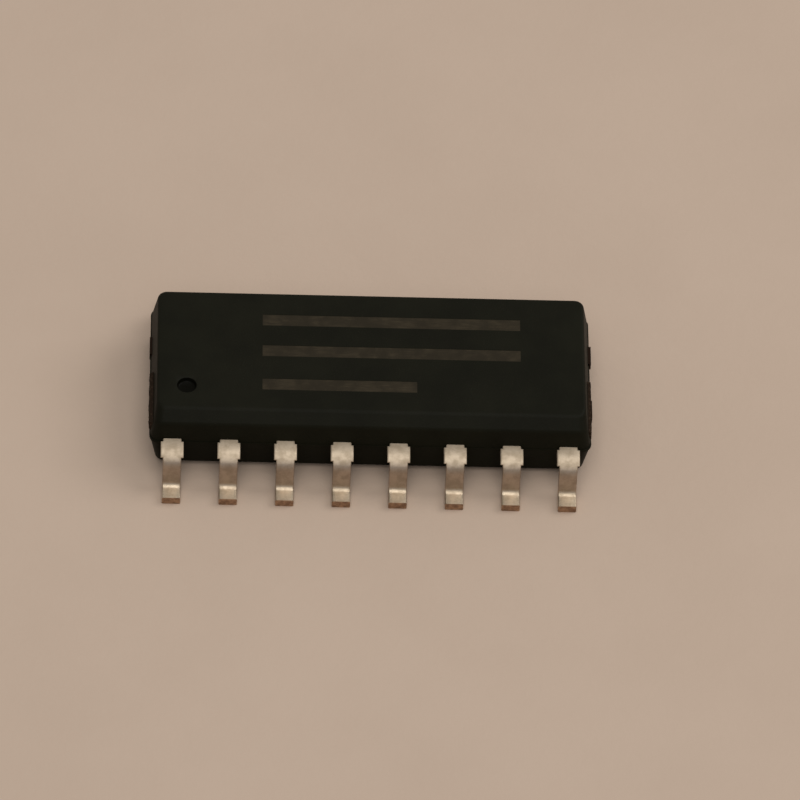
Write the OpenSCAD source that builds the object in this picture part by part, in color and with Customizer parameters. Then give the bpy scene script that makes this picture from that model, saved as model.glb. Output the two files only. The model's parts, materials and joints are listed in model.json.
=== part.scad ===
// Small-outline controller chip: a black moulded body on two rows of gull-wing leads,
// with the die, its paddle and the bond wires inside. Millimetres, +Z up.
// The origin is on the seating plane, under the middle of the body. Lead 1 is at -X, -Y, and the
// numbers run counter-clockwise seen from above.

/* [Leads] */
// Number of leads along each long side
leads_per_side = 8; // [6:1:10]
// Distance between the centres of neighbouring leads
lead_pitch = 1.27; // [1.1:0.01:1.5]
// Width of a lead
lead_width = 0.41; // [0.33:0.01:0.5]
// Thickness of the stamped strip that leads and paddle are cut from
strip_thickness = 0.2; // [0.15:0.01:0.25]
// Flat length of a lead from the body's side to the first bend
shoulder_length = 0.21; // [0.15:0.01:0.4]
// Flat length of the sole that is soldered down
foot_length = 0.27; // [0.2:0.01:0.6]
// Inside radius of the bend at the shoulder
shoulder_radius = 0.2; // [0.1:0.01:0.25]
// Inside radius of the bend at the heel
heel_radius = 0.12; // [0.05:0.01:0.2]
// Angle of the leg to the seating plane
leg_angle = 82; // [70:1:90]
// How far the cut stubs of the dam bar stand out from each edge of a lead
dam_stub = 0.05; // [0.02:0.01:0.1]
// Distance from the body's side to the dam bar's stubs
dam_gap = 0.06; // [0.02:0.01:0.1]

/* [Body] */
// Width of the body across the parting plane, between the lead rows
body_width = 3.9; // [3.6:0.05:4.4]
// Distance from the centre of the last lead to the body's end
end_margin = 0.505; // [0.4:0.005:0.8]
// Thickness of the body, with the parting plane at half of it
body_height = 1.58; // [1.4:0.02:1.9]
// Gap between the body and the seating plane
standoff = 0.12; // [0.05:0.01:0.25]
// Draft of the body's long sides, above and below the parting plane
side_draft = 7; // [3:1:12]
// Draft of the body's ends, above and below the parting plane
end_draft = 10; // [3:1:15]
// Radius of the body's upright corners
corner_radius = 0.2; // [0.05:0.01:0.25]
// Radius along the edges of the top and bottom faces
edge_radius = 0.06; // [0.03:0.01:0.1]
// Size of the bevel along the top edge on lead 1's side
index_bevel = 0.25; // [0.15:0.01:0.4]
// Diameter of the lead 1 dimple in the top face
dimple_diameter = 0.45; // [0.3:0.05:0.9]
// Depth of the dimple
dimple_depth = 0.1; // [0.05:0.01:0.15]
// Distance from the dimple's rim to the edges of the top face
dimple_margin = 0.38; // [0.1:0.01:0.6]
// Diameter of the ejector pin marks in the bottom face
ejector_diameter = 1.2; // [0.8:0.1:1.6]
// Depth of the ejector pin marks
ejector_depth = 0.04; // [0.02:0.01:0.08]
// Distance from the body's end to the centre of the ejector pin mark near it
ejector_margin = 2.25; // [1:0.05:2.5]
// How far the flash stands out along the parting plane
flash_proud = 0.02; // [0.01:0.01:0.05]
// Height of the flash
flash_height = 0.05; // [0.02:0.01:0.1]
// Width of the broken-off mould gate at each end
gate_width = 1.5; // [0.8:0.1:1.8]
// Distance from the body's front side to the gates
gate_margin = 0.25; // [0.2:0.05:1]
// Height of the gates, above the strip
gate_height = 0.25; // [0.1:0.05:0.4]
// How far the gate's break stands out from lead 1's end
near_break = 0.05; // [0.03:0.01:0.15]
// How far the gate's break stands out from the other end
far_break = 0.02; // [0.01:0.01:0.15]

/* [Die and paddle] */
// Length of the die, along the body
die_length = 3; // [2:0.1:4]
// Width of the die
die_width = 1.5; // [1:0.1:1.7]
// Thickness of the die
die_thickness = 0.28; // [0.2:0.01:0.32]
// Thickness of the adhesive under the die
adhesive_thickness = 0.025; // [0.015:0.005:0.05]
// How far the adhesive spreads beyond the die
adhesive_fillet = 0.08; // [0.02:0.01:0.15]
// Paddle length beyond each end of the die
paddle_end_rim = 0.6; // [0.3:0.05:0.9]
// Paddle width beyond each side of the die
paddle_side_rim = 0.35; // [0.3:0.05:0.4]
// How far the paddle lies below the plane of the leads
paddle_downset = 0.15; // [0.05:0.01:0.2]
// Width of each tie bar that holds the paddle
tie_bar_width = 0.5; // [0.3:0.05:0.6]
// Distance from the paddle's side to the tie bar
tie_bar_inset = 0.05; // [0:0.01:0.1]
// Level run of a tie bar between the paddle's end and its slope
tie_bar_run = 0.15; // [0.1:0.05:0.3]
// Length of the slope that lifts a tie bar to the plane of the leads
tie_bar_ramp = 0.3; // [0.2:0.05:0.4]
// How far the cut ends of the tie bars stand out from lead 1's end of the body
near_stub = 0.03; // [0.01:0.01:0.1]
// How far the cut ends of the tie bars stand out from the other end
far_stub = 0.05; // [0.01:0.01:0.1]

/* [Fingers and bond wires] */
// Width of a lead's finger inside the body
finger_width = 0.3; // [0.2:0.01:0.4]
// Gap between the paddle and the inner ends of the leads
finger_gap = 0.25; // [0.15:0.01:0.35]
// How much closer together neighbouring fingers are at their inner ends than at the leads
finger_draw = 0.13; // [0.05:0.01:0.2]
// Diameter of a bond wire
wire_diameter = 0.03; // [0.02:0.005:0.04]
// Diameter of the ball that joins a wire to the die
ball_diameter = 0.09; // [0.06:0.01:0.12]
// Height of the ball
ball_height = 0.025; // [0.015:0.005:0.04]
// Height of a wire's loop above its ball
loop_height = 0.2; // [0.1:0.02:0.25]
// Flat length of the stitch that joins a wire to a lead
stitch_length = 0.08; // [0.05:0.01:0.12]
// Distance from a lead's inner end to the far end of the stitch
stitch_inset = 0.14; // [0.13:0.01:0.2]
// Distance from the die's edges to the centres of its bond pads
pad_inset = 0.13; // [0.08:0.01:0.2]

/* [Hidden] */
$fn = 48;
// Straight steps in each bend of a lead, and how many of them the dam bar's stubs follow
bend_steps = 8;
dam_steps = 4;
// Straight steps in a quarter of the body's corners and edges, and along a wire's loop
corner_steps = 6;
edge_steps = 4;
loop_steps = 9;
// How much higher than a wire's loop the point lies that pulls it up
loop_pull = 2.25;
// Sides of a wire, with one of its flats downwards
wire_sides = 6;
// How far a shape runs past the face that it cuts open or joins
overcut = 0.2;

// Heights
parting_z = standoff + body_height / 2;
top_z = standoff + body_height;
strip_top = parting_z + strip_thickness / 2;
strip_bottom = parting_z - strip_thickness / 2;
paddle_top = strip_top - paddle_downset;
die_bottom = paddle_top + adhesive_thickness;
die_top = die_bottom + die_thickness;

// Plan sizes
body_length = (leads_per_side - 1) * lead_pitch + 2 * end_margin;
paddle_length = die_length + 2 * paddle_end_rim;
paddle_width = die_width + 2 * paddle_side_rim;
finger_end_y = paddle_width / 2 + finger_gap;
finger_turn_y = (body_width / 2 + finger_end_y) / 2;
tie_bar_y = paddle_width / 2 - tie_bar_inset - tie_bar_width / 2;
top_inset = draft_inset(top_z, edge_radius);
dimple_x = -body_length / 2 + top_inset.x + dimple_margin + dimple_diameter / 2;
dimple_y = -body_width / 2 + top_inset.y + index_bevel + dimple_margin + dimple_diameter / 2;

// A lead seen from its side: outward from the body's wall, and up
shoulder_turn = shoulder_radius + strip_thickness / 2;
heel_turn = heel_radius + strip_thickness / 2;
leg_drop = parting_z - strip_thickness / 2 - (shoulder_turn + heel_turn) * (1 - cos(leg_angle));
leg_reach = (shoulder_turn + heel_turn) * sin(leg_angle) + leg_drop / tan(leg_angle);
foot_start = shoulder_length + leg_reach;

// Names
lead_count = 2 * leads_per_side;
function numbered(name, pin) = str(name, pin < 10 ? "_0" : "_", pin);

// Outlines and surfaces

function unit(v) = v / norm(v);

function turned_left(v) = [-v.y, v.x];

function reversed(list) = [for (k = [len(list) - 1 : -1 : 0]) list[k]];

function arc(centre, radius, from, to, steps) =
    [for (k = [0 : steps]) let (a = from + (to - from) * k / steps) centre + radius * [cos(a), sin(a)]];

// One side of a strip that follows a path, mitred at each turn
function strip_side(path, offset) = [
    for (k = [0 : len(path) - 1])
        let (
            last = len(path) - 1,
            before = max(k, 1),
            after = min(k + 1, last),
            n1 = turned_left(unit(path[before] - path[before - 1])),
            n2 = turned_left(unit(path[after] - path[after - 1]))
        ) path[k] + offset * (n1 + n2) / (1 + n1 * n2)
];

function strip_outline(path, width) =
    concat(strip_side(path, width / 2), reversed(strip_side(path, -width / 2)));

// A closed solid through rings that all have as many points, counter-clockwise seen from the last ring
module skin(rings) {
    n = len(rings[0]);
    last = len(rings) - 1;
    walls = [
        for (k = [0 : last - 1], j = [0 : n - 1])
            let (a = k * n + j, b = k * n + (j + 1) % n) [a, a + n, b + n, b]
    ];
    caps = [[for (j = [0 : n - 1]) j], [for (j = [n - 1 : -1 : 0]) last * n + j]];
    polyhedron([for (ring = rings) each ring], concat(walls, caps));
}

// A level ring of the body: the parting outline drawn in by inset along X and Y, and by front more at -Y
function body_ring(z, inset, front = 0) =
    let (
        x = body_length / 2 - inset.x - corner_radius,
        back_y = body_width / 2 - inset.y - corner_radius,
        front_y = back_y - front,
        corners = [[x, back_y, 0], [-x, back_y, 90], [-x, -front_y, 180], [x, -front_y, 270]]
    ) [
        for (c = corners)
            each [for (p = arc([c.x, c.y], corner_radius, c.z, c.z + 90, corner_steps)) [p.x, p.y, z]]
    ];

// How far the walls have drawn in at a height, and a little more at a rounded edge
function draft_inset(z, edge = 0) =
    abs(z - parting_z) * [tan(end_draft), tan(side_draft)] + [edge, edge];

// How far the bevel on lead 1's side has cut in at a height
function bevel_inset(z) = max(0, z - (top_z - index_bevel));

function bottom_edge(angle) =
    let (z = standoff + edge_radius * (1 - cos(angle)))
    body_ring(z, draft_inset(z, edge_radius * (1 - sin(angle))));

function top_edge(angle) =
    let (z = top_z - edge_radius * (1 - sin(angle)))
    body_ring(z, draft_inset(z, edge_radius * (1 - cos(angle))), bevel_inset(z));

// Body

module body_block() {
    flash_low = parting_z - flash_height / 2;
    flash_high = parting_z + flash_height / 2;
    flash_inset = [-flash_proud, -flash_proud];
    bevel_z = top_z - index_bevel;
    skin(concat(
        [for (k = [0 : edge_steps]) bottom_edge(90 * k / edge_steps)],
        [body_ring(flash_low, draft_inset(flash_low))],
        [body_ring(flash_low, flash_inset)],
        [body_ring(flash_high, flash_inset)],
        [body_ring(flash_high, draft_inset(flash_high))],
        [body_ring(bevel_z, draft_inset(bevel_z))],
        [for (k = [0 : edge_steps]) top_edge(90 * k / edge_steps)]
    ));
}

// What is left of the runner that led from body to body, where the moulding was broken off at +X
module gate_break(proud) {
    tip_x = body_length / 2 + proud;
    middle_y = -body_width / 2 + gate_margin + gate_width / 2;
    root = [body_length / 2 - overcut, middle_y];
    translate([0, 0, strip_top])
        linear_extrude(gate_height)
            polygon([
                root - [0, gate_width / 2],
                [tip_x, middle_y - gate_width / 2 + proud],
                [tip_x, middle_y + gate_width / 2 - proud],
                root + [0, gate_width / 2]
            ]);
}

module moulded_body() {
    color("#1d1c19")
        difference() {
            union() {
                body_block();
                gate_break(far_break);
                mirror([1, 0, 0]) gate_break(near_break);
            }
            translate([dimple_x, dimple_y, top_z - dimple_depth])
                cylinder(d = dimple_diameter, h = dimple_depth + overcut);
            for (side = [-1, 1])
                translate([side * (body_length / 2 - ejector_margin), 0, standoff - overcut])
                    cylinder(d = ejector_diameter, h = overcut + ejector_depth);
            for (pin = [1 : lead_count]) lead_blank(pin);
            paddle_shape();
            adhesive_shape();
            die_shape();
            for (pin = [1 : lead_count]) wire_shape(pin);
        }
}

// Leads

function row_x(column, pitch) = (column - (leads_per_side + 1) / 2) * pitch;

function lead_x(column) = row_x(column, lead_pitch);

// A lead's column in its row. The back row is the front row turned half round
function column_of(pin) = pin > leads_per_side ? pin - leads_per_side : pin;

// Draws the front row's piece in place for a lead on either row
module on_row(pin) {
    rotate(pin > leads_per_side ? 180 : 0) children();
}

// Where the middle of a lead runs inside the body, at a distance from the body's long axis
function finger_point(column, y) =
    let (share = (finger_turn_y - y) / (finger_turn_y - finger_end_y))
    [row_x(column, lead_pitch - finger_draw * share), -y];

// A finger that turns towards the die and is cut off level along the paddle
module finger_outline(column) {
    wall = [lead_x(column), -body_width / 2];
    turn = finger_point(column, finger_turn_y);
    past_end = finger_point(column, finger_end_y - finger_width);
    reach = body_length / 2;
    intersection() {
        polygon(strip_outline([wall, turn, past_end], finger_width));
        translate([-reach, -body_width / 2])
            square([2 * reach, body_width / 2 - finger_end_y]);
    }
}

// The flat part of a lead: its finger, and its full width from the turn out to the first bend
module lead_blank(pin) {
    column = column_of(pin);
    bend_y = body_width / 2 + shoulder_length;
    on_row(pin)
        translate([0, 0, strip_bottom])
            linear_extrude(strip_thickness)
                union() {
                    finger_outline(column);
                    translate([lead_x(column) - lead_width / 2, -bend_y])
                        square([lead_width, bend_y - finger_turn_y]);
                }
}

// Middle lines seen from the side: the two bends, the lead from the body's wall to its toe, and its stubs
function upper_bend() =
    let (centre = [shoulder_length, parting_z - shoulder_turn])
    arc(centre, shoulder_turn, 90, 90 - leg_angle, bend_steps);

function lower_bend() =
    let (centre = [foot_start, strip_thickness / 2 + heel_turn])
    arc(centre, heel_turn, 270 - leg_angle, 270, bend_steps);

function lead_path() =
    concat([[0, parting_z]], upper_bend(), lower_bend(), [[foot_start + foot_length, strip_thickness / 2]]);

function dam_path() = concat([[dam_gap, parting_z]], [for (k = [0 : dam_steps]) upper_bend()[k]]);

module formed_strip(path, width) {
    rotate([90, 0, -90])
        linear_extrude(width, center = true)
            polygon(strip_outline(path, strip_thickness));
}

module lead(pin) {
    color("#c8c2b4")
        union() {
            lead_blank(pin);
            on_row(pin)
                translate([lead_x(column_of(pin)), -body_width / 2, 0]) {
                    formed_strip(lead_path(), lead_width);
                    formed_strip(dam_path(), lead_width + 2 * dam_stub);
                }
        }
}

// Paddle and die

// A tie bar's middle line, seen along Y: from inside the paddle's end, up its ramp and out of the body
function tie_bar_path(stub) = [
    [paddle_length / 2 - tie_bar_run, paddle_top - strip_thickness / 2],
    [paddle_length / 2 + tie_bar_run, paddle_top - strip_thickness / 2],
    [paddle_length / 2 + tie_bar_run + tie_bar_ramp, parting_z],
    [body_length / 2 + stub, parting_z]
];

module tie_bar(stub) {
    rotate([90, 0, 0])
        linear_extrude(tie_bar_width, center = true)
            polygon(strip_outline(tie_bar_path(stub), strip_thickness));
}

module paddle_shape() {
    translate([-paddle_length / 2, -paddle_width / 2, paddle_top - strip_thickness])
        cube([paddle_length, paddle_width, strip_thickness]);
    for (side = [-1, 1])
        translate([0, side * tie_bar_y, 0]) {
            tie_bar(far_stub);
            rotate(180) tie_bar(near_stub);
        }
}

module die_paddle() {
    color("#b87a52") union() paddle_shape();
}

function die_ring(z, spread) =
    let (x = die_length / 2 + spread, y = die_width / 2 + spread)
    [[x, y, z], [-x, y, z], [-x, -y, z], [x, -y, z]];

module adhesive_shape() {
    skin([die_ring(paddle_top, adhesive_fillet), die_ring(die_bottom, 0)]);
}

module die_adhesive() {
    color("#9a9a98") adhesive_shape();
}

module die_shape() {
    translate([-die_length / 2, -die_width / 2, die_bottom])
        cube([die_length, die_width, die_thickness]);
}

module silicon_die() {
    color("#4b4f5a") die_shape();
}

// Bond wires

function bezier(p, t) =
    (1 - t) ^ 3 * p[0] + 3 * (1 - t) ^ 2 * t * p[1] + 3 * (1 - t) * t ^ 2 * p[2] + t ^ 3 * p[3];

function pad_point(column) =
    let (row = die_length - 2 * pad_inset)
    [row * ((column - 1) / (leads_per_side - 1) - 1 / 2), -(die_width / 2 - pad_inset)];

// A wire's middle line in its own upright plane: along from its pad, and up
function wire_path(span) =
    let (
        ball_z = die_top + ball_height,
        land_z = strip_top + wire_diameter / 2 * cos(180 / wire_sides),
        land = span - stitch_length,
        pull = [[0, ball_z], [0, ball_z + loop_pull * loop_height], [land / 2, land_z], [land, land_z]]
    ) concat([for (k = [0 : loop_steps]) bezier(pull, k / loop_steps)], [[span, land_z]]);

// A ring round a wire's middle line, square to its run
function wire_ring(pad, along, point, run, radius) =
    let (
        across = [-along.y, along.x, 0],
        up = [-run.y * along.x, -run.y * along.y, run.x],
        middle = [pad.x + along.x * point.x, pad.y + along.y * point.x, point.y]
    ) [
        for (j = [0 : wire_sides - 1])
            let (a = 360 * j / wire_sides) middle + radius * (cos(a) * across + sin(a) * up)
    ];

module wire_shape(pin) {
    column = column_of(pin);
    pad = pad_point(column);
    stitch = finger_point(column, finger_end_y + stitch_inset);
    along = unit(stitch - pad);
    path = wire_path(norm(stitch - pad));
    last = len(path) - 1;
    runs = [
        for (k = [0 : last])
            k == 0 ? [0, 1] : k >= last - 1 ? [1, 0] : unit(path[k + 1] - path[k - 1])
    ];
    on_row(pin)
        skin(concat(
            [for (z = [die_top, die_top + ball_height])
                wire_ring(pad, along, [0, z], [0, 1], ball_diameter / 2)],
            [for (k = [0 : last]) wire_ring(pad, along, path[k], runs[k], wire_diameter / 2)]
        ));
}

module bond_wire(pin) {
    color("#d4a640") wire_shape(pin);
}

moulded_body();
die_paddle();
die_adhesive();
silicon_die();
for (pin = [1 : lead_count]) {
    lead(pin);
    bond_wire(pin);
}
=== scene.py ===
import json
import math
import bmesh
import bpy
from mathutils import Matrix, Vector, noise

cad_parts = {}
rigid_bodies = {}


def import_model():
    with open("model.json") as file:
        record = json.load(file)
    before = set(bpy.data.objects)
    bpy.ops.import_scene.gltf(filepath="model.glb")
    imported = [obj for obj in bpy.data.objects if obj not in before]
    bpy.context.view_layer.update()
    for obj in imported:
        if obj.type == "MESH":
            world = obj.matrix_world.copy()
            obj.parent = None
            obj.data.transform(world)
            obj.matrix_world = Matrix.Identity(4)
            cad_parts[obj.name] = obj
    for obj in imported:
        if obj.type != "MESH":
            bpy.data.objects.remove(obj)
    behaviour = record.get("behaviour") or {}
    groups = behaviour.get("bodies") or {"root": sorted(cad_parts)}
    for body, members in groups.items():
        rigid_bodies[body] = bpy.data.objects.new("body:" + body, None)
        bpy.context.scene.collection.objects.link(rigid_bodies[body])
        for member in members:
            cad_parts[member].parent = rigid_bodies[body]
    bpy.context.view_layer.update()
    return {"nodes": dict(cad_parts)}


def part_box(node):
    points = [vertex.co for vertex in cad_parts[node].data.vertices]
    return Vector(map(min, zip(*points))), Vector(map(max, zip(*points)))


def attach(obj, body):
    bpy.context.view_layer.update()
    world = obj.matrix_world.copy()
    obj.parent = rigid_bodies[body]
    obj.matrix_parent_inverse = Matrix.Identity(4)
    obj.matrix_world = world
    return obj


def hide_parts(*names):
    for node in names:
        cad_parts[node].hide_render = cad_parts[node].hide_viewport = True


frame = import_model()
mm = 0.001  # pieces are drawn in millimetres and brought to metres at the end
hair, near = 1e-6, 1e-4  # mm: play of a cut, and what counts as one place
print("frame:", len(frame["nodes"]), "nodes")


# node helpers

def paint(red, green, blue):  # a colour picked on screen, 0 to 255, as the shader wants it
    channels = [c / 255 for c in (red, green, blue)]
    return [c / 12.92 if c < 0.04045 else ((c + 0.055) / 1.055) ** 2.4 for c in channels] + [1]


def setInputs(tree, node, inputs):  # links what comes from a socket, writes the rest
    for name, value in inputs.items():
        if isinstance(value, bpy.types.NodeSocket):
            tree.links.new(value, node.inputs[name])
        else:
            node.inputs[name].default_value = value


def addNode(tree, kind, inputs, **settings):
    node = tree.nodes.new("ShaderNode" + kind)
    for name, value in settings.items():
        setattr(node, name, value)
    setInputs(tree, node, inputs)
    return node


def placeOn(tree):
    return addNode(tree, "TexCoord", {}).outputs["Object"]


def placeAlong(tree, axis):
    return addNode(tree, "SeparateXYZ", {"Vector": placeOn(tree)}).outputs[axis]


def mixColours(tree, amount, first, second):  # the node's sockets 6, 7 and 2 are its colours
    return addNode(tree, "Mix", {"Factor": amount, 6: first, 7: second}, data_type="RGBA").outputs[2]


def calculate(tree, operation, *values, clamp=False):
    inputs = dict(enumerate(values))
    return addNode(tree, "Math", inputs, operation=operation, use_clamp=clamp).outputs[0]


def spread(tree, value, low, high):  # 0 to 1 becomes low to high
    return addNode(tree, "MapRange", {"Value": value, "To Min": low, "To Max": high}).outputs["Result"]


def ramp(tree, value, start, end, kind="LINEAR"):  # start to end becomes 0 to 1
    inputs = {"Value": value, "From Min": start, "From Max": end}
    return addNode(tree, "MapRange", inputs, interpolation_type=kind).outputs["Result"]


def raiseBumps(tree, height, distance):
    return addNode(tree, "Bump", {"Height": height, "Distance": distance}).outputs["Normal"]


# effects that several finishes share

def startGroup(name, inputs, output):
    tree = bpy.data.node_groups.new(name, "ShaderNodeTree")
    for socket, kind, value in inputs:
        made = tree.interface.new_socket(socket, in_out="INPUT", socket_type="NodeSocket" + kind)
        made.default_value = value
    tree.interface.new_socket(output, in_out="OUTPUT", socket_type="NodeSocketFloat")
    return tree, tree.nodes.new("NodeGroupInput").outputs, tree.nodes.new("NodeGroupOutput")


def makeMottle():  # soft clouds of 0 to 1, wide or narrow between Low and High
    tree, given, result = startGroup("mottle", [
        ("Scale", "Float", 600), ("Low", "Float", 0.35), ("High", "Float", 0.65)], "Amount")
    cloud = addNode(tree, "TexNoise", {
        "Vector": placeOn(tree), "Scale": given["Scale"], "Detail": 4, "Roughness": 0.6})
    step = ramp(tree, cloud.outputs["Fac"], given["Low"], given["High"], "SMOOTHSTEP")
    setInputs(tree, result, {"Amount": step})
    return tree


def makeGrain():  # fine bumps, drawn out along an axis whose stretch is small
    tree, given, result = startGroup("grain", [
        ("Scale", "Float", 20000), ("Stretch", "Vector", (1, 1, 1))], "Height")
    drawn = addNode(tree, "VectorMath", {0: placeOn(tree), 1: given["Stretch"]}, operation="MULTIPLY")
    bumps = addNode(tree, "TexNoise", {
        "Vector": drawn.outputs["Vector"], "Scale": given["Scale"], "Detail": 3, "Roughness": 0.55})
    setInputs(tree, result, {"Height": bumps.outputs["Fac"]})
    return tree


def makeSpecks():  # scattered round grains, 1 at their middles
    tree, given, result = startGroup("specks", [
        ("Scale", "Float", 15000), ("Size", "Float", 0.25)], "Amount")
    cells = addNode(tree, "TexVoronoi", {"Vector": placeOn(tree), "Scale": given["Scale"]})
    step = ramp(tree, cells.outputs["Distance"], given["Size"], 0, "SMOOTHSTEP")
    setInputs(tree, result, {"Amount": step})
    return tree


mottle, grain, specks = makeMottle(), makeGrain(), makeSpecks()


def useGroup(tree, group, values):
    return addNode(tree, "Group", values, node_tree=group).outputs[0]


def startMaterial(name):
    material = bpy.data.materials.new(name)
    material.use_nodes = True
    return material, material.node_tree, material.node_tree.nodes["Principled BSDF"]


# finishes; a scale counts waves in a metre, and bumps and places are in metres

mouldFinish = {
    "dark": paint(16.5, 16, 8), "light": paint(21.5, 21, 12), "filler": paint(38, 36, 25),
    "clouds": {"Scale": 700, "Low": 0.3, "High": 0.7}, "dots": {"Scale": 16000, "Size": 0.22},
    "dotShade": (0, 0.5), "texture": {"Scale": 26000},
    "gloss": 0.07, "roughness": (0.46, 0.6), "bumps": 0.0000035,
}


def makeMouldCompound():
    s = mouldFinish
    material, tree, shader = startMaterial("mouldCompound")
    clouds = useGroup(tree, mottle, s["clouds"])
    dots = useGroup(tree, specks, s["dots"])
    texture = useGroup(tree, grain, s["texture"])
    skin = mixColours(tree, clouds, s["dark"], s["light"])
    setInputs(tree, shader, {
        "Base Color": mixColours(tree, spread(tree, dots, *s["dotShade"]), skin, s["filler"]),
        "Roughness": spread(tree, texture, *s["roughness"]),
        "Specular IOR Level": s["gloss"],
        "Normal": raiseBumps(tree, texture, s["bumps"]),
    })
    return material


etchFinish = {
    "burnt": paint(42, 37, 28), "bare": paint(58, 51, 39),
    "sweep": {"Scale": 30000, "Stretch": (0.12, 1, 1)}, "lines": (-0.6, 1.6),
    "clouds": {"Scale": 2600, "Low": 0.35, "High": 0.65},
    "gloss": 0.07, "roughness": (0.7, 0.85), "bumps": 0.000006,
}


def makeEtchedCompound():  # where a laser swept the skin off in close lines
    s = etchFinish
    material, tree, shader = startMaterial("etchedCompound")
    sweep = useGroup(tree, grain, s["sweep"])
    clouds = useGroup(tree, mottle, s["clouds"])
    worn = calculate(tree, "MULTIPLY", spread(tree, sweep, *s["lines"]), clouds, clamp=True)
    setInputs(tree, shader, {
        "Base Color": mixColours(tree, worn, s["burnt"], s["bare"]),
        "Roughness": spread(tree, sweep, *s["roughness"]),
        "Specular IOR Level": s["gloss"],
        "Normal": raiseBumps(tree, sweep, s["bumps"]),
    })
    return material


breakFinish = {
    "resin": paint(38, 28, 20), "filler": paint(64, 51, 39),
    "dots": {"Scale": 14000, "Size": 0.5}, "texture": {"Scale": 15000},
    "gloss": 0.07, "roughness": (0.75, 0.95), "bumps": 0.00002,
}


def makeBrokenCompound():  # the gate's fracture, with the filler grains laid open
    s = breakFinish
    material, tree, shader = startMaterial("brokenCompound")
    dots = useGroup(tree, specks, s["dots"])
    texture = useGroup(tree, grain, s["texture"])
    setInputs(tree, shader, {
        "Base Color": mixColours(tree, dots, s["resin"], s["filler"]),
        "Roughness": spread(tree, texture, *s["roughness"]),
        "Specular IOR Level": s["gloss"],
        "Normal": raiseBumps(tree, texture, s["bumps"]),
    })
    return material


pinFinish = {
    # darker than the moulding around it: painted shade for the recess
    "dark": paint(7, 6.5, 3), "light": paint(10, 9, 5),
    "clouds": {"Scale": 3200, "Low": 0.3, "High": 0.7},
    "gloss": 0.04, "roughness": (0.3, 0.42),
}


def makePinMark():  # smoother where a pin of the mould pressed; its darker colours are painted shade in the recess
    s = pinFinish
    material, tree, shader = startMaterial("pinMarkPaintedShade")
    clouds = useGroup(tree, mottle, s["clouds"])
    setInputs(tree, shader, {
        "Base Color": mixColours(tree, clouds, s["dark"], s["light"]),
        "Roughness": spread(tree, clouds, *s["roughness"]),
        "Specular IOR Level": s["gloss"],
    })
    return material


tinFinish = {
    "bright": paint(202, 185, 162), "dull": paint(181, 164, 141),
    # the leg's two colours are painted shade, darker than the plating and mottled by the clouds
    "legPaintedShade": paint(177, 161, 145), "legDeepPaintedShade": paint(160, 144, 127),
    "legFoot": (0.00032, 0.00022), "legHead": (0.00083, 0.00093),  # heights where the leg ends
    "clouds": {"Scale": 5200, "Low": 0.35, "High": 0.68},
    "streaks": {"Scale": 26000, "Stretch": (1, 0.1, 0.1)}, "crystals": {"Scale": 38000},
    "metallic": (1, 0.55), "roughness": (0.4, 0.52), "mattShoulder": 0.16, "bumps": 0.000004,
}


def makeTinPlate():  # matt shoulder; the leg's darker colours are painted shade for the shadowed floor it faces; bright foot
    s = tinFinish
    material, tree, shader = startMaterial("tinPlate")
    height = placeAlong(tree, "Z")
    foot, shoulder = [ramp(tree, height, *s[k]) for k in ("legFoot", "legHead")]
    clouds = useGroup(tree, mottle, s["clouds"])
    streaks = useGroup(tree, grain, s["streaks"])
    crystals = useGroup(tree, grain, s["crystals"])
    plating = mixColours(tree, clouds, s["bright"], s["dull"])
    # painted shade on the leg
    leg = mixColours(tree, clouds, s["legPaintedShade"], s["legDeepPaintedShade"])
    offLeg = calculate(tree, "MAXIMUM", foot, shoulder)
    rough = spread(tree, clouds, *s["roughness"])
    setInputs(tree, shader, {
        "Base Color": mixColours(tree, offLeg, leg, plating),
        "Metallic": spread(tree, shoulder, *s["metallic"]),
        "Roughness": calculate(tree, "MULTIPLY_ADD", shoulder, s["mattShoulder"], rough),
        "Normal": raiseBumps(tree, calculate(tree, "ADD", streaks, crystals), s["bumps"]),
    })
    return material


copperFinish = {
    "clean": paint(183, 152, 126), "tarnish": paint(138, 112, 92),
    "clouds": {"Scale": 7000, "Low": 0.35, "High": 0.65},
    "drag": {"Scale": 30000, "Stretch": (1, 1, 0.12)},
    "roughness": (0.38, 0.6), "bumps": 0.000006,
}


def makeCutCopper():  # sheared ends, with the shear's upright drag lines
    s = copperFinish
    material, tree, shader = startMaterial("cutCopper")
    clouds = useGroup(tree, mottle, s["clouds"])
    drag = useGroup(tree, grain, s["drag"])
    setInputs(tree, shader, {
        "Base Color": mixColours(tree, clouds, s["clean"], s["tarnish"]),
        "Roughness": spread(tree, drag, *s["roughness"]),
        "Metallic": 1,
        "Normal": raiseBumps(tree, drag, s["bumps"]),
    })
    return material


stripFinish = {
    "clean": paint(150, 98, 70), "worn": paint(112, 74, 54), "oxide": paint(46, 34, 27),
    "cutEnds": (0.00488, 0.00494),  # from the middle, where the browning starts and is full
    "clouds": {"Scale": 1500, "Low": 0.35, "High": 0.65},
    "rolled": {"Scale": 24000, "Stretch": (0.06, 1, 1)},
    "roughness": (0.3, 0.5), "bumps": 0.000004,
}


def makeCopperStrip():  # rolled strip, lined along its length, browned where it was cut at the body's ends
    s = stripFinish
    material, tree, shader = startMaterial("copperStrip")
    clouds = useGroup(tree, mottle, s["clouds"])
    rolled = useGroup(tree, grain, s["rolled"])
    outward = calculate(tree, "ABSOLUTE", placeAlong(tree, "X"))
    skin = mixColours(tree, clouds, s["clean"], s["worn"])
    setInputs(tree, shader, {
        "Base Color": mixColours(tree, ramp(tree, outward, *s["cutEnds"]), skin, s["oxide"]),
        "Roughness": spread(tree, rolled, *s["roughness"]),
        "Metallic": 1,
        "Normal": raiseBumps(tree, rolled, s["bumps"]),
    })
    return material


adhesiveFinish = {
    "resin": paint(122, 120, 114), "flake": paint(196, 195, 190),
    "flakes": {"Scale": 22000, "Size": 0.55}, "texture": {"Scale": 18000},
    "roughness": (0.45, 0.7), "bumps": 0.000005,
}


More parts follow.
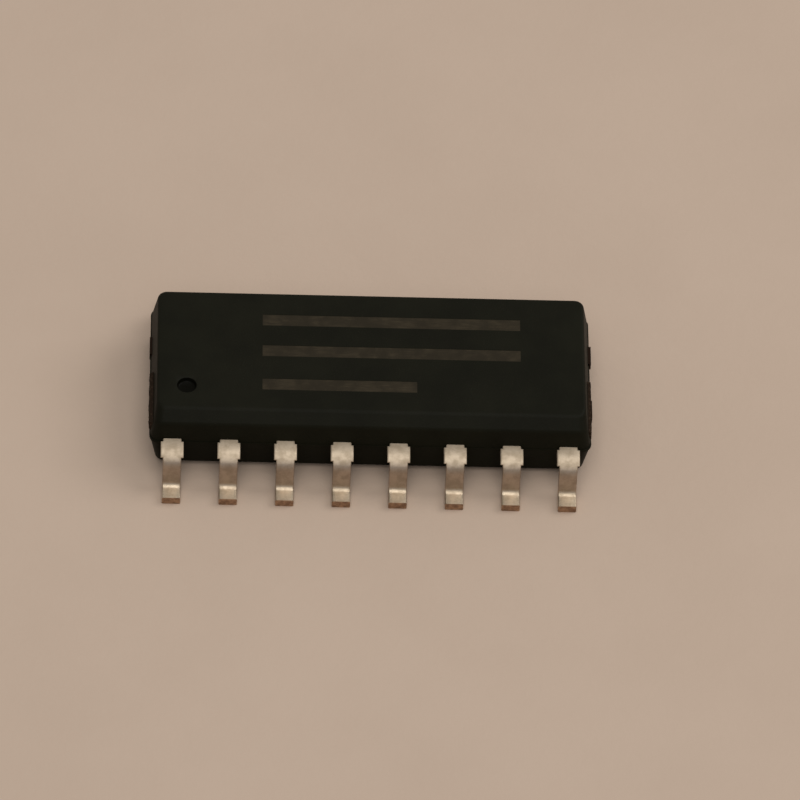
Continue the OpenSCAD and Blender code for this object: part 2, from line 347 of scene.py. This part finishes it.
def makeDieAdhesive():  # resin full of silver flake
    s = adhesiveFinish
    material, tree, shader = startMaterial("dieAdhesive")
    flakes = useGroup(tree, specks, s["flakes"])
    texture = useGroup(tree, grain, s["texture"])
    setInputs(tree, shader, {
        "Base Color": mixColours(tree, flakes, s["resin"], s["flake"]),
        "Roughness": spread(tree, texture, *s["roughness"]),
        "Normal": raiseBumps(tree, texture, s["bumps"]),
    })
    return material


dieFinish = {
    "field": paint(66, 72, 86), "block": paint(104, 98, 112), "track": paint(150, 140, 120),
    "blockScale": 2400, "tracks": {"Scale": 16000, "Stretch": (0.15, 1, 1)}, "trackShade": (-0.5, 0.9),
    "metallic": 0.6, "roughness": (0.14, 0.3),
}


def makeSilicon():  # polished die with plain blocks of circuitry in its face
    s = dieFinish
    material, tree, shader = startMaterial("silicon")
    blocks = addNode(tree, "TexVoronoi", {
        "Vector": placeOn(tree), "Scale": s["blockScale"]}, distance="CHEBYCHEV")
    tracks = useGroup(tree, grain, s["tracks"])
    shade = mixColours(tree, blocks.outputs["Distance"], s["field"], s["block"])
    setInputs(tree, shader, {
        "Base Color": mixColours(tree, spread(tree, tracks, *s["trackShade"]), shade, s["track"]),
        "Roughness": spread(tree, tracks, *s["roughness"]),
        "Metallic": s["metallic"],
    })
    return material


goldFinish = {
    "bright": paint(228, 178, 84), "deep": paint(196, 144, 58),
    "clouds": {"Scale": 9000, "Low": 0.35, "High": 0.65},
    "roughness": (0.16, 0.3),
}


def makeGoldWire():
    s = goldFinish
    material, tree, shader = startMaterial("goldWire")
    clouds = useGroup(tree, mottle, s["clouds"])
    setInputs(tree, shader, {
        "Base Color": mixColours(tree, clouds, s["bright"], s["deep"]),
        "Roughness": spread(tree, clouds, *s["roughness"]),
        "Metallic": 1,
    })
    return material


bodyFinishes = [makeMouldCompound(), makeEtchedCompound(), makeBrokenCompound(), makePinMark()]
etched, broken, pinned = 1, 2, 3  # places in that list
leadFinishes = [makeTinPlate(), makeCutCopper()]
cutBare = 1
insideFinishes = {
    "die_paddle": makeCopperStrip(), "die_adhesive": makeDieAdhesive(), "silicon_die": makeSilicon(),
    "bond_wire": makeGoldWire(),
}
print("finishes:", len(bpy.data.materials))


# mesh helpers

def everything(bm):
    return [*bm.verts, *bm.edges, *bm.faces]


def ofKind(geom, kind):
    return [g for g in geom if isinstance(g, kind)]


def madeVerts(made):
    return ofKind(made["geom"], bmesh.types.BMVert)


def madeFaces(made):
    return ofKind(made["geom"], bmesh.types.BMFace)


def openEdges(bm):
    return [e for e in bm.edges if e.is_boundary or e.is_wire]


def span(edge, axis):
    return abs(edge.verts[0].co[axis] - edge.verts[1].co[axis])


def growFaces(bm, faces):  # the edges go along, so that nothing of the old faces stays inside
    edges = dict.fromkeys(e for f in faces for e in f.edges)
    return bmesh.ops.extrude_face_region(bm, geom=[*faces, *edges])


def cutAcross(bm, place, direction):
    bmesh.ops.bisect_plane(bm, geom=everything(bm), dist=hair, plane_co=place, plane_no=direction)


def roundEdges(bm, edges, radius, segments):
    bmesh.ops.bevel(bm, geom=edges, offset=radius, offset_type="OFFSET", segments=segments, profile=0.5,
                    affect="EDGES", clamp_overlap=True, material=-1)


def faceAt(bm, point, play=0.0005):  # the flat face that this point lies in
    bm.normal_update()
    for face in bm.faces:
        off = (point - face.calc_center_median()).dot(face.normal)
        if abs(off) < play and bmesh.geometry.intersect_face_point(face, point):
            return face


def isolatePatch(bm, middle, axisA, halfA, axisB, halfB):  # cuts a rectangle free within one flat face
    for axis, half in ((axisA, halfA), (axisB, halfB)):
        for side in (-1, 1):
            face = faceAt(bm, middle)
            direction = Vector((0, 0, 0))
            direction[axis] = 1
            bmesh.ops.bisect_plane(bm, geom=[face, *face.edges, *face.verts], dist=hair,
                                   plane_co=middle + side * half * direction, plane_no=direction)
    return faceAt(bm, middle)


def sinkRound(bm, middle, rings, finish, margin=1.25, sides=48):  # a recess, each ring a radius and a depth
    widest = rings[0][0]
    patch = isolatePatch(bm, middle, 0, widest * margin, 1, widest * margin)
    inward = -patch.normal.copy()
    bmesh.ops.delete(bm, geom=[patch], context="FACES_ONLY")
    bmesh.ops.create_circle(bm, cap_ends=False, radius=widest, segments=sides,
                            matrix=Matrix.Translation(middle))
    bmesh.ops.triangle_fill(bm, edges=openEdges(bm), use_beauty=True, normal=-inward)
    for (wide, high), (narrow, deep) in zip(rings, rings[1:]):
        step = bmesh.ops.extrude_edge_only(bm, edges=openEdges(bm))
        ring, walls = madeVerts(step), madeFaces(step)
        bmesh.ops.scale(bm, vec=(narrow / wide, narrow / wide, 1), verts=ring,
                        space=Matrix.Translation(-middle))
        bmesh.ops.translate(bm, vec=inward * (deep - high), verts=ring)
        for face in walls:
            face.material_index = finish
    for face in bmesh.ops.holes_fill(bm, edges=openEdges(bm), sides=0)["faces"]:
        face.material_index = finish


def waves(place, coarse, fine, share):  # unevenness of 0 to about 1, the fine waves by their share
    return max(0, 0.5 + 0.5 * noise.noise(place * coarse) + share * noise.noise(place * fine))


def finishPiece(name, bm, materials, node, crease=50):
    bmesh.ops.remove_doubles(bm, verts=bm.verts, dist=near)
    bmesh.ops.recalc_face_normals(bm, faces=bm.faces)
    bmesh.ops.triangulate(bm, faces=[f for f in bm.faces if len(f.verts) > 4], ngon_method="BEAUTY")
    bmesh.ops.scale(bm, vec=(mm, mm, mm), verts=bm.verts)
    for face in bm.faces:
        face.smooth = True
    mesh = bpy.data.meshes.new(name)
    bm.to_mesh(mesh)
    bm.free()
    mesh.set_sharp_from_angle(angle=math.radians(crease))
    for material in materials:
        mesh.materials.append(material)
    piece = bpy.data.objects.new(name, mesh)
    bpy.context.scene.collection.objects.link(piece)
    level = piece.modifiers.new("level", "WEIGHTED_NORMAL")  # flat faces stay flat beside round edges
    level.keep_sharp = True
    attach(piece, "root")
    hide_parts(node)
    return piece


# moulded body, in millimetres and degrees

moulding = {
    "sideDraft": 7, "endDraft": 10, "indexBevel": 0.25,
    "cornerRadius": 0.2, "cornerSteps": 6, "edgeRadius": 0.06, "edgeSteps": 5, "sharp": 25,
    "flash": 0.02, "flashHeight": 0.05, "flashWear": 0.009,
    "flashCuts": (70, 28), "flashStep": 0.14, "flashWaves": (2.5, 9, 0.3),  # coarse, fine, fine share
    "dimple": (-4.146, -0.938),
    "dimpleRings": ((0.225, 0), (0.218, 0.004), (0.211, 0.016), (0.203, 0.07), (0.192, 0.09), (0.168, 0.1)),
    "ejectorX": 2.7,
    "ejectorRings": ((0.6, 0), (0.594, 0.003), (0.586, 0.02), (0.576, 0.036), (0.56, 0.04)),
    "gateMiddle": (-0.95, 1.135), "gateHalf": (0.75, 0.125), "gateProud": {-1: 0.05, 1: 0.02},
    "gateRough": 0.8, "gateCuts": (40, 7), "gateWaves": (7, 30, 0.2),
    "etchedBars": ((-2.46, 3.38, 1.05), (-2.46, 3.38, 0.14), (-2.46, 1.04, -0.85)),  # from, to, middle
    "etchHalf": 0.17, "etchDepth": 0.012,
}
bodyLow, bodyHigh = [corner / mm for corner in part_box("moulded_body")]
halfLength, halfWidth = bodyHigh.x - moulding["flash"], bodyHigh.y - moulding["flash"]
bottom, top = bodyLow.z, bodyHigh.z
parting = (bottom + top) / 2
sideLean, endLean = [math.tan(math.radians(moulding[k])) for k in ("sideDraft", "endDraft")]


def drawBlock(bm):  # two drafted halves, with the bevel along lead 1's side
    s = moulding
    bmesh.ops.create_cube(bm, size=2)
    bmesh.ops.scale(bm, vec=(halfLength, halfWidth, (top - bottom) / 2), verts=bm.verts)
    bmesh.ops.translate(bm, vec=(0, 0, parting), verts=bm.verts)
    cutAcross(bm, (0, 0, parting), (0, 0, 1))
    rise = top - parting
    rims = [v for v in bm.verts if abs(v.co.z - parting) > near]
    shrink = (1 - rise * endLean / halfLength, 1 - rise * sideLean / halfWidth, 1)
    bmesh.ops.scale(bm, vec=shrink, verts=rims)
    foot = top - s["indexBevel"]
    wall = halfWidth - (foot - parting) * sideLean
    bmesh.ops.bisect_plane(bm, geom=everything(bm), clear_outer=True,
                           plane_co=(0, -wall, foot), plane_no=(0, -1, 1 + sideLean))
    bmesh.ops.holes_fill(bm, edges=openEdges(bm), sides=0)
    rising = [e for e in bm.edges if span(e, 2) > near]
    roundEdges(bm, rising, s["cornerRadius"], s["cornerSteps"])
    sharp = [e for e in bm.edges if e.calc_face_angle(0) > math.radians(s["sharp"])]
    roundEdges(bm, sharp, s["edgeRadius"], s["edgeSteps"])


def raiseFlash(bm):  # thin uneven lip of resin along the parting line
    s = moulding
    for side in (-0.5, 0.5):
        cutAcross(bm, (0, 0, parting + side * s["flashHeight"]), (0, 0, 1))
    onLip = bm.verts.layers.float.new("onLip")
    band = [f for f in bm.faces if abs(f.calc_center_median().z - parting) < s["flashHeight"] / 2]
    lip = madeVerts(growFaces(bm, band))
    bmesh.ops.scale(bm, vec=(1 + s["flash"] / halfLength, 1 + s["flash"] / halfWidth, 1), verts=lip)
    for v in lip:
        v[onLip] = 1

    def outermost(v):
        return v[onLip] > 0.99  # points made further in hold less

    for reach, cuts in zip((halfLength, halfWidth), s["flashCuts"]):
        runs = [e for e in bm.edges if all(outermost(v) for v in e.verts) and e.calc_length() > reach]
        bmesh.ops.subdivide_edges(bm, edges=runs, cuts=cuts, use_grid_fill=True)
    bm.normal_update()
    for v in [v for v in bm.verts if outermost(v)]:
        v.co -= Vector((v.normal.x, v.normal.y, 0)) * s["flashWear"] * waves(v.co, *s["flashWaves"])
    bm.verts.layers.float.remove(onLip)


def breakGate(bm, end):  # stub of the runner that led from body to body, snapped off
    s = moulding
    y, z = s["gateMiddle"]
    halfAcross, halfUp = s["gateHalf"]
    proud = s["gateProud"][end]
    middle = Vector((end * (halfLength - abs(z - parting) * endLean), y, z))
    patch = isolatePatch(bm, middle, 1, halfAcross, 2, halfUp)
    tip = madeVerts(growFaces(bm, [patch]))
    reach = halfLength + proud
    for v in tip:
        v.co.x = end * reach
    bmesh.ops.scale(bm, vec=(1, 1 - proud / halfAcross, 1), verts=tip, space=Matrix.Translation((0, -y, 0)))
    stub = dict.fromkeys(f for v in tip for f in v.link_faces)
    for face in stub:
        face.material_index = broken

    def onTip(v):
        return v.co.x * end > reach - hair and v.co.z > z - halfUp - near  # the lip below it stays out

    across = [e for e in dict.fromkeys(e for f in stub for e in f.edges) if span(e, 1) > halfAcross]
    bmesh.ops.subdivide_edges(bm, edges=across, cuts=s["gateCuts"][0], use_grid_fill=True)
    upright = [e for e in bm.edges if all(onTip(v) for v in e.verts) and span(e, 2) > halfUp]
    bmesh.ops.subdivide_edges(bm, edges=upright, cuts=s["gateCuts"][1], use_grid_fill=True)
    for v in [v for v in bm.verts if onTip(v)]:
        v.co.x -= end * s["gateRough"] * proud * waves(v.co, *s["gateWaves"])


def etchBars(bm):  # plain laser-swept bars
    s = moulding
    for start, end, y in s["etchedBars"]:
        middle = Vector(((start + end) / 2, y, top))
        patch = isolatePatch(bm, middle, 0, (end - start) / 2, 1, s["etchHalf"])
        bmesh.ops.inset_individual(bm, faces=[patch], thickness=s["etchDepth"], depth=-s["etchDepth"],
                                   use_even_offset=True)
        patch.material_index = etched


def divideRoot(bm):  # points along the lip's foot, to match those along its edge
    s = moulding
    for e in bm.edges[:]:
        cuts = int(e.calc_length() / s["flashStep"])
        if cuts and all(abs(abs(v.co.z - parting) - s["flashHeight"] / 2) < near for v in e.verts):
            bmesh.ops.subdivide_edges(bm, edges=[e], cuts=cuts)


def makeBody():
    s = moulding
    bm = bmesh.new()
    drawBlock(bm)
    raiseFlash(bm)
    for end in (-1, 1):
        breakGate(bm, end)
    sinkRound(bm, Vector((*s["dimple"], top)), s["dimpleRings"], pinned)
    etchBars(bm)
    for side in (-1, 1):
        sinkRound(bm, Vector((side * s["ejectorX"], 0, bottom)), s["ejectorRings"], pinned)
    divideRoot(bm)
    return finishPiece("body", bm, bodyFinishes, "moulded_body")


body = makeBody()
print("body:", len(body.data.polygons), "faces")


# leads, in millimetres and degrees

strip = {
    "count": 8, "pitch": 1.27, "width": 0.41, "thickness": 0.2,
    "shoulder": 0.21, "foot": 0.27, "legAngle": 82,
    "shoulderRadius": 0.2, "heelRadius": 0.12, "bendSteps": 8,
    "stub": 0.05, "stubGap": 0.06, "stubSteps": 4,  # stubs reach this many steps down the bend
    "fingerTurn": 1.65, "fingerEnd": 1.35, "fingerWidth": 0.3, "fingerDraw": 0.13, "fingerTaper": 0.02,
    "edgeRadius": 0.028, "edgeSteps": 3, "sharp": 40,
}


def growFace(bm, face, vec):
    made = growFaces(bm, [face])
    bmesh.ops.translate(bm, vec=vec, verts=madeVerts(made))
    return madeFaces(made)[0]


def bendFace(bm, face, centre, degrees):
    made = bmesh.ops.spin(bm, geom=[face, *face.edges, *face.verts], cent=centre, axis=(1, 0, 0),
                          angle=math.radians(degrees), steps=strip["bendSteps"], use_duplicate=False)
    return ofKind(made["geom_last"], bmesh.types.BMFace)[0]


def drawLead(column):  # from the toe up to the body and in to the finger's end, at the front
    s = strip
    place = column - (s["count"] - 1) / 2
    x, half = place * s["pitch"], s["thickness"] / 2
    upperTurn, lowerTurn = s["shoulderRadius"] + half, s["heelRadius"] + half
    angle = math.radians(s["legAngle"])
    drop = parting - half - (upperTurn + lowerTurn) * (1 - math.cos(angle))
    bendY = -halfWidth - s["shoulder"]
    heelY = bendY - (upperTurn + lowerTurn) * math.sin(angle) - drop / math.tan(angle)
    toeY = heelY - s["foot"]
    bm = bmesh.new()
    bmesh.ops.create_grid(bm, x_segments=1, y_segments=1, size=0.5)
    bmesh.ops.scale(bm, vec=(s["width"], s["thickness"], 1), verts=bm.verts)
    bmesh.ops.rotate(bm, matrix=Matrix.Rotation(math.pi / 2, 3, "X"), verts=bm.verts)
    bmesh.ops.translate(bm, vec=(x, toeY, half), verts=bm.verts)
    face = growFace(bm, bm.faces[:][0], (0, s["foot"], 0))
    face = bendFace(bm, face, (x, heelY, half + lowerTurn), s["legAngle"])
    face = growFace(bm, face, (0, drop / math.tan(angle), drop))
    face = bendFace(bm, face, (x, bendY, parting - upperTurn), -s["legAngle"])
    for length in (s["shoulder"] - s["stubGap"], s["stubGap"], halfWidth - s["fingerTurn"]):
        face = growFace(bm, face, (0, length, 0))
    draw = -place * s["fingerDraw"]
    run = s["fingerTurn"] - s["fingerEnd"]
    inward = Vector((draw / run, 1, 0))
    fingerWidth = s["fingerWidth"] * inward.length
    face = growFace(bm, face, inward * s["fingerTaper"])
    bmesh.ops.scale(bm, vec=(fingerWidth / s["width"], 1, 1), verts=face.verts,
                    space=Matrix.Translation((-face.calc_center_median().x, 0, 0)))
    growFace(bm, face, inward * (run - s["fingerTaper"]))
    bmesh.ops.recalc_face_normals(bm, faces=bm.faces)
    widenStubs(bm, bendY, upperTurn)
    return bm, toeY


def widenStubs(bm, bendY, upperTurn):  # what is left of the bar that dammed the resin between the leads
    s = strip
    turn = math.radians(s["legAngle"]) * s["stubSteps"] / s["bendSteps"]
    far, close = bendY - upperTurn * math.sin(turn), -halfWidth - s["stubGap"]
    for side in (-1, 1):
        faces = [f for f in bm.faces if f.normal.x * side > 1 - near
                 and far < f.calc_center_median().y < close]
        grown = madeVerts(growFaces(bm, faces))
        bmesh.ops.translate(bm, vec=(side * s["stub"], 0, 0), verts=grown)


def inOutline(e):  # long edges and the stubs' ends, not those through the strip
    s = strip
    length = e.calc_length()
    return (e.calc_face_angle_signed(0) > math.radians(s["sharp"]) and abs(length - s["thickness"]) > near
            and (span(e, 0) < near or abs(length - s["stub"]) < near))


def makeLead(number):
    s = strip
    bm, toeY = drawLead((number - 1) % s["count"])
    for f in bm.faces:
        if f.calc_center_median().y < toeY + near:
            f.material_index = cutBare  # after the plating
    bm.normal_update()
    roundEdges(bm, [e for e in bm.edges if inOutline(e)], s["edgeRadius"], s["edgeSteps"])
    if number > s["count"]:
        bmesh.ops.rotate(bm, matrix=Matrix.Rotation(math.pi, 3, "Z"), verts=bm.verts)
    node = "lead_%02d" % number
    return finishPiece("formed_" + node, bm, leadFinishes, node)


leads = [makeLead(number) for number in range(1, 2 * strip["count"] + 1)]
print("leads:", len(leads), "with", len(leads[0].data.polygons), "faces each")


# pieces inside the moulding keep their solids

for name, node in frame["nodes"].items():
    for start, material in insideFinishes.items():
        if name.startswith(start):
            node.data.materials.clear()
            node.data.materials.append(material)
print("inside pieces dressed")


# floor, light and camera

table = {
    "size": 0.6, "colour": paint(185, 165, 148), "shade": paint(182, 162, 145),
    "clouds": {"Scale": 180, "Low": 0.3, "High": 0.7}, "fibre": {"Scale": 3500},
    "gloss": 0.2, "roughness": (0.75, 0.9), "bumps": 0.00001,
}


def makePaper():
    s = table
    material, tree, shader = startMaterial("paperFloor")
    clouds = useGroup(tree, mottle, s["clouds"])
    fibre = useGroup(tree, grain, s["fibre"])
    setInputs(tree, shader, {
        "Base Color": mixColours(tree, clouds, s["colour"], s["shade"]),
        "Roughness": spread(tree, fibre, *s["roughness"]),
        "Specular IOR Level": s["gloss"],
        "Normal": raiseBumps(tree, fibre, s["bumps"]),
    })
    return material


def makeFloor():
    bm = bmesh.new()
    bmesh.ops.create_grid(bm, x_segments=1, y_segments=1, size=table["size"])
    mesh = bpy.data.meshes.new("floor")
    bm.to_mesh(mesh)
    bm.free()
    mesh.materials.append(makePaper())
    floor = bpy.data.objects.new("floor", mesh)
    bpy.context.scene.collection.objects.link(floor)


makeFloor()

lighting = {  # places and sizes in metres, power in watts
    "tint": (1, 0.985, 0.965), "sky": 0.4,
    "lamps": {
        "overhead": {"place": (0, -0.07, 0.25), "size": (0.16, 0.34), "power": 0.366},
        "side": {"place": (0.16, 0.06, 0.17), "size": (0.14, 0.14), "power": 0.19},
    },
}


def hangLamps():
    for name, s in lighting["lamps"].items():
        light = bpy.data.lights.new(name, "AREA")
        light.shape = "RECTANGLE"
        light.size, light.size_y = s["size"]
        light.energy, light.color = s["power"], lighting["tint"]
        lamp = bpy.data.objects.new(name, light)
        lamp.location = s["place"]
        lamp.rotation_euler = Vector(s["place"]).to_track_quat("Z", "Y").to_euler()
        bpy.context.scene.collection.objects.link(lamp)
    world = bpy.data.worlds.new("softRoom")
    world.use_nodes = True
    sky = world.node_tree.nodes["Background"]
    sky.inputs["Color"].default_value = (*lighting["tint"], 1)
    sky.inputs["Strength"].default_value = lighting["sky"]
    bpy.context.scene.world = world


hangLamps()

shot = {  # the photograph's view, in degrees and mm; focal length and slide in pixels of its frame
    "elevation": 49.46, "azimuth": -3.15, "roll": 3.66, "distance": 220,
    "focal": 9719, "slide": (-31.1, -8.3), "frame": 800,
    "sensor": 36, "clip": (0.005, 10),  # clipping in metres
}


def placeCamera():
    s = shot
    up, around, roll = [math.radians(s[k]) for k in ("elevation", "azimuth", "roll")]
    ahead = Vector((-math.sin(around) * math.cos(up), math.cos(around) * math.cos(up), -math.sin(up)))
    right = Vector((math.cos(around), math.sin(around), 0))
    above = right.cross(ahead)
    perPixel = s["distance"] / s["focal"]
    eye = -ahead * s["distance"] - (right * s["slide"][0] + above * s["slide"][1]) * perPixel
    side = right * math.cos(roll) + above * math.sin(roll)
    head = above * math.cos(roll) - right * math.sin(roll)
    data = bpy.data.cameras.new("photoView")
    data.sensor_width = s["sensor"]
    data.lens = s["focal"] * s["sensor"] / s["frame"]
    data.clip_start, data.clip_end = s["clip"]
    camera = bpy.data.objects.new("photoView", data)
    facing = Matrix((side, head, -ahead)).transposed().to_4x4()
    camera.matrix_world = Matrix.Translation(eye * mm) @ facing
    bpy.context.scene.collection.objects.link(camera)
    bpy.context.scene.camera = camera


placeCamera()
bpy.context.scene.view_settings.view_transform = "Standard"
print("floor, light and camera set")

bpy.context.view_layer.update()
